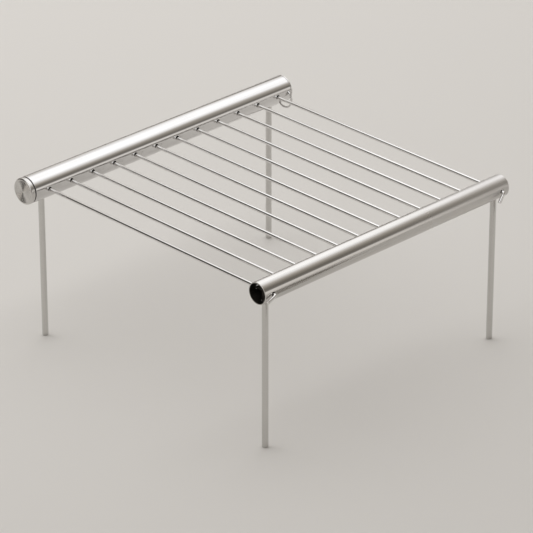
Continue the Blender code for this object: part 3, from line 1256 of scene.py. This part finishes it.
@dataclass
class GrateRods:
    """The ten straight rods and the two hooked ones."""

    layout: Layout
    steps: int = 40
    end_play: float = 3.0 * MM
    end_edge: float = 0.3 * MM
    standoff: float = 0.4 * MM
    bend: float = 2.0 * MM
    bend_steps: int = 14
    tip_steps: int = 4
    hook_length: float = 9.0 * MM
    near_hook_angle: float = math.radians(68)
    far_hook_angle: float = math.radians(38)
    steel: DrawnSteel = DrawnSteel(
        "rod_steel", Axis.Y, (0.66, 0.65, 0.637), (0.78, 0.77, 0.76), 0.045, 0.03
    )

    def build(self) -> list[Piece]:
        """Makes all the rods.

        Returns:
            The straight rods from the cap end, then the near and the far hooked rod.
        """
        material = self.steel.material()
        last = self.layout.rod_count - 1
        first = self._straight(1)
        first.data.materials.append(material)
        rods = [self._tied(first, "grate_rod_02")]
        for index in range(2, last):
            move = Axis.X.direction * (self.layout.rod_x(index) - self.layout.rod_x(1))
            rod = copied(first, f"straight_rod_{index + 1:02}", move)
            rods.append(self._tied(rod, f"grate_rod_{index + 1:02}"))
        ends = (("near", 0, self.near_hook_angle), ("far", last, self.far_hook_angle))
        for end, index, angle in ends:
            rod = self._hooked(f"hooked_rod_{end}", index, angle)
            rod.data.materials.append(material)
            rods.append(self._tied(rod, f"hook_rod_{end}"))
        return rods

    @staticmethod
    def _tied(rod: Piece, node: str) -> Piece:
        """Ties a rod to the node of the same rod in the frame.

        Args:
            rod: The rod.
            node: The node, which is also the body that it rides on.

        Returns:
            The rod.
        """
        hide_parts(node)
        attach(rod, node)
        return rod

    def _turned(self, name: str, index: int, rings: Sequence[Ring]) -> Piece:
        """Turns a rod, which ends like all rods inside the rear tube.

        Args:
            name: Its name.
            index: Its place in the row, from 0.
            rings: The rings that follow those of its rear end.

        Returns:
            The rod.
        """
        layout = self.layout
        centre = Vector((layout.rod_x(index), 0, layout.rod_height(index)))
        end = layout.rear_y + layout.rear_bore - self.end_play
        rear = far_end(layout.rod_radius, end, self.end_edge)
        return Lathe(Axis.Y, centre, self.steps).turn(name, [*rear, *rings])

    def _straight(self, index: int) -> Piece:
        """Makes one plain rod, loose between the two bores.

        Args:
            index: Its place in the row, from 0.

        Returns:
            The rod.
        """
        layout = self.layout
        start = layout.front_y - layout.front_bore + self.end_play
        rings = near_end(layout.rod_radius, start, self.end_edge)
        rod = self._turned(f"straight_rod_{index + 1:02}", index, rings)
        smooth(rod)
        return rod

    def _hooked(self, name: str, index: int, angle: float) -> Piece:
        """Makes one long rod, bent down into a hook outside the front tube.

        Args:
            name: Its name.
            index: Its place in the row, from 0.
            angle: How far its hook leans from straight down, towards the cap end.

        Returns:
            The rod.
        """
        layout, radius = self.layout, self.layout.rod_radius
        start = layout.front_y - layout.front_radius - self.standoff
        rod = self._turned(name, index, [Ring(radius, layout.front_y), Ring(radius, start)])
        open_mesh(rod)
        limit = start + HAIR
        pick_parts(Kind.FACE, lambda face: all(corner.co.y < limit for corner in face.verts))
        bpy.ops.mesh.delete(type="ONLY_FACE")
        pick_parts(Kind.EDGE, lambda edge: all(corner.co.y < limit for corner in edge.verts))
        down = Vector((-math.sin(angle), 0, -math.cos(angle)))
        bend_from = Vector((layout.rod_x(index), start, layout.rod_height(index)))
        bpy.ops.mesh.spin(
            steps=self.bend_steps, angle=math.pi / 2, center=bend_from + down * self.bend,
            axis=down.cross(Vector((0, -1, 0))),
        )
        reach = down * (self.hook_length - self.bend - self.end_edge)
        bpy.ops.mesh.extrude_region_move(TRANSFORM_OT_translate={"value": reach})
        hook = bend_from - Axis.Y.direction * self.bend
        for step in range(1, self.tip_steps + 1):
            self._round_tip(hook, down, step)
        pick_all()
        bpy.ops.mesh.remove_doubles(threshold=MERGE_DISTANCE)
        close_up(rod)
        smooth(rod)
        return rod

    def _round_tip(self, hook: Vector, down: Vector, step: int) -> None:
        """Extrudes one ring of the hook's rounded tip.

        Args:
            hook: Where the hook's own axis meets the rod's.
            down: The direction in which the hook points.
            step: The ring's number, from 1.
        """
        edge, flat = self.end_edge, self.layout.rod_radius - self.end_edge
        quarter = math.pi / 2 / self.tip_steps
        before, now = quarter * (step - 1), quarter * step
        move = down * (edge * (math.sin(now) - math.sin(before)))
        bpy.ops.mesh.extrude_region_move(TRANSFORM_OT_translate={"value": move})
        factor = (flat + edge * math.cos(now)) / (flat + edge * math.cos(before))
        middle = hook + down * (self.hook_length - edge + edge * math.sin(now))
        bpy.ops.transform.resize(value=(factor, factor, factor), center_override=middle)


@dataclass
class Legs:
    """The four legs, each with an eye near its top for a hooked rod."""

    layout: Layout
    steps: int = 64
    length: float = 137.991 * MM
    edge: float = 0.4 * MM
    eye_clearance: float = 0.3 * MM
    eye_steps: int = 40
    eye_burr: float = 0.1 * MM
    overrun: float = 1 * MM
    rim: float = 0.5 * MM
    # Above this height, inside its tube, a leg's top gets painted shade.
    painted_shade_from: float = 126 * MM
    steel: DrawnSteel = DrawnSteel("leg_steel", Axis.Z, (0.58, 0.57, 0.55), (0.70, 0.69, 0.675), 0.17)

    def build(self) -> list[Piece]:
        """Makes the four legs.

        Returns:
            The front legs and then the rear ones, each with the near one first.
        """
        layout = self.layout
        first = self._leg(layout.first_rod_x, layout.front_y)
        first.data.materials.append(self.steel.material())
        # The leg's top inside the tube is painted near black, as shade.
        top_shade_finish = PaintedShadeSteel("leg_top_steel", Axis.Z)
        paint_shade_on_faces(first, top_shade_finish, lambda face: face.calc_center_median().z > self.painted_shade_from)
        legs = []
        for side, y in (("front", layout.front_y), ("rear", layout.rear_y)):
            for end, x in layout.leg_places.items():
                move = Vector((x - layout.first_rod_x, y - layout.front_y, 0))
                leg = first if move.length == 0 else copied(first, f"round_leg_{side}_{end}", move)
                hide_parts(f"leg_{side}_{end}")
                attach(leg, f"{side}_tube")
                legs.append(leg)
        return legs

    def _leg(self, x: float, y: float) -> Piece:
        """Makes one leg.

        Args:
            x: Its place along the tubes.
            y: Its place across them.

        Returns:
            The leg.
        """
        radius, margin = self.layout.leg_radius, self.overrun
        rings = [
            *far_end(radius, self.length, self.edge),
            Ring(radius, self.painted_shade_from),
            *near_end(radius, 0, self.edge),
        ]
        leg = Lathe(Axis.Z, Vector((x, y, 0)), self.steps).turn("round_leg_front_near", rings)
        start = Vector((x, y - radius - margin, self.layout.axis_height))
        eye = self.layout.rod_radius + self.eye_clearance
        cut(leg, [rod_cutter(start, Axis.Y, 2 * (radius + margin), eye, self.eye_steps)])
        top = self.length - self.rim
        deburr(leg, self.eye_burr, lambda place: not self.rim < place.z < top)
        smooth(leg)
        return leg


# The studio


@dataclass(frozen=True)
class KeyPanel:
    """The large soft lamp overhead, which lights the floor and the matt things."""

    place: Triple = (0.3, 0.9, 2.0)
    aim: Triple = (0.1, 0.0, 0.0)
    width: float = 4.0
    radiance: float = 1.35

    def build(self) -> None:
        """Makes the lamp, with its power worked out from its brightness and area."""
        lamp = bpy.data.lights.new("key_panel", "AREA")
        lamp.shape = "SQUARE"
        lamp.size = self.width
        lamp.energy = self.radiance * math.pi * self.width**2
        panel = bpy.data.objects.new("key_panel", lamp)
        panel.location = self.place
        direction = Vector(self.aim) - Vector(self.place)
        panel.rotation_euler = direction.to_track_quat("-Z", "Y").to_euler()
        panel.visible_camera = False
        panel.visible_glossy = False
        bpy.context.scene.collection.objects.link(panel)


@dataclass(frozen=True)
class Card:
    """A soft card that only the polished steel reflects, with its brightness in steps."""

    name: str
    facing: Axis
    low: Triple
    high: Triple
    along: int
    steps: Steps
    far_steps: Steps = ()
    far_from: float = 0.0
    far_to: float = 1.0
    fade_in: float = 0.0
    fade_glow: float = 0.235
    cool: Triple = (1.0, 0.998, 1.0)
    warm: Triple = (1.12, 1.0, 0.84)
    warm_below: float = 1.2
    headroom: float = 1.15

    def build(self) -> None:
        """Makes the card between its two corners, at right angles to the axis it faces."""
        clear_bench()
        low, high = Vector(self.low), Vector(self.high)
        middle = (low + high) / 2
        bpy.ops.mesh.primitive_plane_add(size=1, location=middle, rotation=self.facing.turn)
        card = bpy.context.object
        card.name = self.name
        settle(card)
        open_mesh(card)
        pick_all()
        bpy.ops.transform.resize(value=high - low, center_override=middle)
        close_mesh()
        card.data.materials.append(self._material())
        card.visible_camera = False
        card.visible_diffuse = False
        card.visible_shadow = False

    def _material(self) -> Material:
        """Makes a glow that follows the place along the card.

        Returns:
            The material.
        """
        dress = Dress(self.name)
        parts = dress.parts(dress.place())
        start, stop = self.low[self.along], self.high[self.along]
        share = (parts[self.along] - start) / (stop - start)
        peak = self.headroom * max(glow for _, glow in self.steps)
        colour = dress.ramp(share, self._stops(self.steps, peak))
        if self.far_steps:
            across = (parts[0] - self.far_from) / (self.far_to - self.far_from)
            far = dress.ramp(share, self._stops(self.far_steps, peak))
            colour = dress.mixed(across.clamped(), colour, far)
        if self.fade_in:
            inwards = (parts[0] - self.low[0]) / self.fade_in
            edge = (*self._tinted(self.fade_glow, peak), 1)
            colour = dress.mixed(inwards.clamped(), edge, colour)
        return dress.finish({
            "Base Color": (0, 0, 0, 1),
            "Specular IOR Level": 0.0,
            "Emission Color": colour,
            "Emission Strength": peak,
        })

    def _stops(self, steps: Steps, peak: float) -> list[tuple[float, Triple]]:
        """The stops of the colour ramp for these steps."""
        start, stop = self.low[self.along], self.high[self.along]
        return [((place - start) / (stop - start), self._tinted(glow, peak)) for place, glow in steps]

    def _tinted(self, glow: float, peak: float) -> Triple:
        """The colour of one step, warmer where it is dimmer."""
        share = min(1.0, glow / self.warm_below)
        return tuple(glow / peak * (cool * share + warm * (1 - share))
                     for cool, warm in zip(self.cool, self.warm))


@dataclass
class Studio:
    """The floor, the lamp, the cards, the plain surroundings and the camera."""

    floor_size: float = 14.0
    surround: Triple = (0.225, 0.21, 0.192)
    camera_place: Triple = (-1.792, -1.837, 1.367)
    camera_direction: Triple = (0.62247, 0.63826, -0.45295)
    focal_pixels: float = 3635.9
    picture_pixels: float = 533
    sensor: float = 36
    clip: tuple[float, float] = (0.05, 50)
    cards: tuple[Card, ...] = (
        Card("top_card", Axis.Z, (-0.24, -0.80, 0.583), (2.2, 2.60, 0.583), 1, (
            (-0.80, 0.15), (-0.54, 0.25), (-0.39, 0.38), (-0.264, 0.62), (-0.165, 0.96),
            (-0.083, 1.24), (-0.01, 1.44), (0.06, 1.52), (0.33, 1.50), (0.505, 1.25),
            (0.70, 0.80), (1.20, 0.58), (1.70, 0.52), (2.60, 0.36),
        ), (
            (-0.80, 0.17), (-0.54, 0.27), (-0.39, 0.35), (-0.264, 0.42), (-0.165, 0.62),
            (-0.083, 0.94), (-0.01, 1.24), (0.06, 1.42), (0.33, 1.50), (0.505, 1.45),
            (0.70, 1.10), (1.20, 0.78), (1.70, 0.66), (2.60, 0.42),
        ), far_from=0.30, far_to=0.56, fade_in=0.12),
        Card("high_card", Axis.Z, (-2.4, -1.6, 2.05), (-0.45, 1.4, 2.05), 0, (
            (-2.4, 0.9), (-0.45, 1.3),
        )),
        Card("low_card", Axis.Y, (-0.4, -1.12, 0.005), (2.2, -1.12, 0.52), 2, (
            (0.005, 0.70), (0.12, 0.76), (0.30, 0.86), (0.38, 0.84), (0.52, 0.26),
        )),
        Card("side_card", Axis.X, (-1.3, -1.25, 0.60), (-1.3, 0.35, 1.90), 2, (
            (0.60, 1.1), (0.90, 1.35), (1.90, 1.35),
        )),
        Card("grey_card", Axis.X, (-1.3, -0.15, 0.01), (-1.3, 0.72, 0.60), 2, (
            (0.01, 0.55), (0.60, 0.55),
        )),
        Card("dark_card", Axis.X, (-1.3, 0.72, 0.01), (-1.3, 2.9, 2.80), 2, (
            (0.01, 0.03), (2.20, 0.03), (2.80, 0.10),
        )),
        Card("dark_line", Axis.Z, (-1.0, -0.376, 0.005), (1.4, -0.342, 0.005), 1, (
            (-0.376, 0.30), (-0.365, 0.15), (-0.353, 0.15), (-0.342, 0.30),
        )),
    )

    def build(self) -> None:
        """Sets everything up around the grill."""
        self._floor()
        KeyPanel().build()
        for card in self.cards:
            card.build()
        self._world()
        self._camera()
        bpy.context.scene.view_settings.view_transform = "Standard"

    def _floor(self) -> None:
        """The pale floor that the legs stand on."""
        clear_bench()
        bpy.ops.mesh.primitive_plane_add(size=self.floor_size, location=(0, 0, 0))
        floor = bpy.context.object
        floor.name = "floor"
        floor.data.materials.append(PaleFloor("pale_floor").material())

    def _world(self) -> None:
        """The plain surroundings, a dim warm grey."""
        world = bpy.data.worlds.new("studio")
        world.use_nodes = True
        background = world.node_tree.nodes["Background"]
        background.inputs["Color"].default_value = (*self.surround, 1)
        background.inputs["Strength"].default_value = 1.0
        bpy.context.scene.world = world

    def _camera(self) -> None:
        """The camera, with the photograph's place, direction and long lens."""
        data = bpy.data.cameras.new("camera")
        data.sensor_width = self.sensor
        data.lens = self.sensor * self.focal_pixels / self.picture_pixels
        data.clip_start, data.clip_end = self.clip
        camera = bpy.data.objects.new("camera", data)
        camera.location = self.camera_place
        look = Vector(self.camera_direction)
        camera.rotation_euler = look.to_track_quat("-Z", "Y").to_euler()
        bpy.context.scene.collection.objects.link(camera)
        bpy.context.scene.camera = camera


def main() -> None:
    """Builds the grill piece by piece, and the studio around it."""
    logging.basicConfig(level=logging.INFO, format="%(name)s: %(message)s")
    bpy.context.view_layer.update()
    layout = Layout()
    ring = HangingRing(layout)
    pieces = [
        *RearTube(layout).build(ring),
        ring.build(),
        *EndCap(layout).build(),
        FrontTube(layout).build(),
        *GrateRods(layout).build(),
        *Legs(layout).build(),
    ]
    for piece in pieces:
        LOG.info("%s has %d faces", piece.name, len(piece.data.polygons))
    Studio().build()
    clear_bench()


if __name__ == "__main__":
    main()
